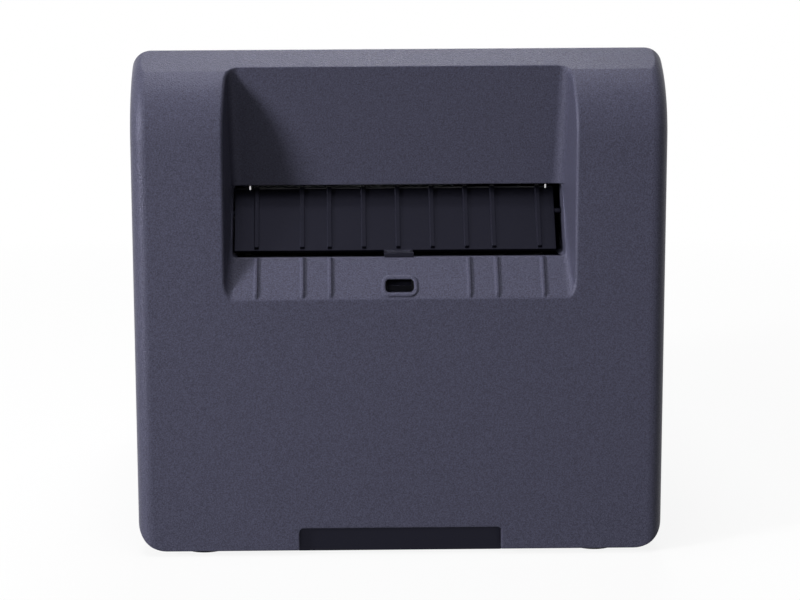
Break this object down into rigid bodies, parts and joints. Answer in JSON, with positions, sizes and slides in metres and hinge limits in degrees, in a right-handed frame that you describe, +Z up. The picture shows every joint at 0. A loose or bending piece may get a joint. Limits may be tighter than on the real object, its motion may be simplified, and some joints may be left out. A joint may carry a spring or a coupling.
{
  "type": "receipt printer",
  "caption": "Desktop thermal receipt printer with a hinged lid over the roll bay, a platen and head drive, a ribbed rear paper entry and an underside cable bay.",
  "frame": {"origin": "middle of the footprint, on the table under the rubber feet", "axes": "+Z up, -Y towards the operator and the paper exit, +Y towards the rear paper entry"},
  "size_m": [0.144, 0.194, 0.1375],
  "materials": {
    "case": "fine moulded grain",
    "guide": "smooth moulded black",
    "chassis": "smooth moulded dark grey",
    "steel_sheet": "folded zinc-plated sheet",
    "bright_steel": "ground",
    "screw_steel": "plated",
    "aluminium": "extruded",
    "ceramic": "glazed heater board",
    "platen_rubber": "ground rubber",
    "foot_rubber": "matt",
    "gear_plastic": "moulded acetal",
    "motor_can": "drawn can",
    "board": "solder mask",
    "dark_gloss": "moulded",
    "socket_metal": "tinned shell",
    "button": "moulded",
    "lens": "clear moulded"
  },
  "bodies": {
    "base": {"rear_cover": "case", "rear_guide": "guide", "lower_case": "case", "front_cover": "case", "base_tray": "chassis", "cable_cover": "guide", "rubber_feet": "foot_rubber", "hinge_pins": "bright_steel", "roll_bay": "chassis", "print_frame": "steel_sheet", "paper_chute": "chassis", "paper_sensor": "dark_gloss", "drive_motor": "motor_can", "gear_stud": "bright_steel", "lever_stud": "bright_steel", "head_pivot_pin": "bright_steel", "head_springs": "steel_sheet", "tear_bar": "steel_sheet", "main_board": "board", "board_components": "dark_gloss", "interface_plate": "steel_sheet", "power_inlet": "dark_gloss", "usb_socket": "socket_metal", "ethernet_socket": "socket_metal", "drawer_socket": "dark_gloss", "control_board": "board", "lamp_lenses": "lens", "power_switch": "guide", "base_screws": "screw_steel", "frame_screws": "screw_steel", "board_screws": "screw_steel"},
    "lid": {"lid": "case", "platen_bracket": "steel_sheet", "platen_bushings": "gear_plastic", "bracket_screws": "screw_steel"},
    "platen": {"platen_shaft": "bright_steel", "platen_rubber": "platen_rubber", "platen_gear": "gear_plastic"},
    "reduction": {"reduction_gear": "gear_plastic"},
    "motor_rotor": {"motor_shaft": "bright_steel", "motor_pinion": "gear_plastic"},
    "head": {"head_bracket": "aluminium", "thermal_head": "ceramic"},
    "release_lever": {"release_lever": "guide"},
    "feed_button": {"feed_button": "button"},
    "power_rocker": {"power_rocker": "dark_gloss"}
  },
  "joints": [
    {"name": "lid_hinge", "type": "hinge", "parent": "base", "child": "lid", "pos_m": [0, 0.0646, 0.1325], "axis": [-1, 0, 0], "range_deg": [0, 88]},
    {"name": "platen_spin", "type": "hinge", "parent": "lid", "child": "platen", "pos_m": [0, -0.05, 0.121], "axis": [1, 0, 0], "continuous": true},
    {"name": "reduction_spin", "type": "hinge", "parent": "base", "child": "reduction", "pos_m": [-0.054, -0.05, 0.10688], "axis": [1, 0, 0], "continuous": true},
    {"name": "motor_spin", "type": "hinge", "parent": "base", "child": "motor_rotor", "pos_m": [-0.05, -0.05, 0.08576], "axis": [1, 0, 0], "continuous": true},
    {"name": "head_pivot", "type": "hinge", "parent": "base", "child": "head", "pos_m": [0, -0.05537, 0.10299], "axis": [1, 0, 0], "range_deg": [0, 1], "stiffness_Nm_per_rad": 5, "springref_deg": -2.86},
    {"name": "release_pivot", "type": "hinge", "parent": "base", "child": "release_lever", "pos_m": [0.0495, -0.066, 0.098], "axis": [1, 0, 0], "range_deg": [0, 8], "stiffness_Nm_per_rad": 0.5, "springref_deg": -2.86},
    {"name": "feed_press", "type": "slide", "parent": "base", "child": "feed_button", "axis": [0, 1, 0], "range_m": [0, 0.0006], "stiffness_N_per_m": 800, "springref_m": -0.0003},
    {"name": "power_rock", "type": "hinge", "parent": "base", "child": "power_rocker", "pos_m": [-0.036, -0.0925, 0.0275], "axis": [-1, 0, 0], "range_deg": [0, 12]}
  ],
  "couplings": [
    {"joint": "reduction_spin", "follows": "platen_spin", "ratio": -1.2222},
    {"joint": "motor_spin", "follows": "platen_spin", "ratio": 3.6667}
  ]
}
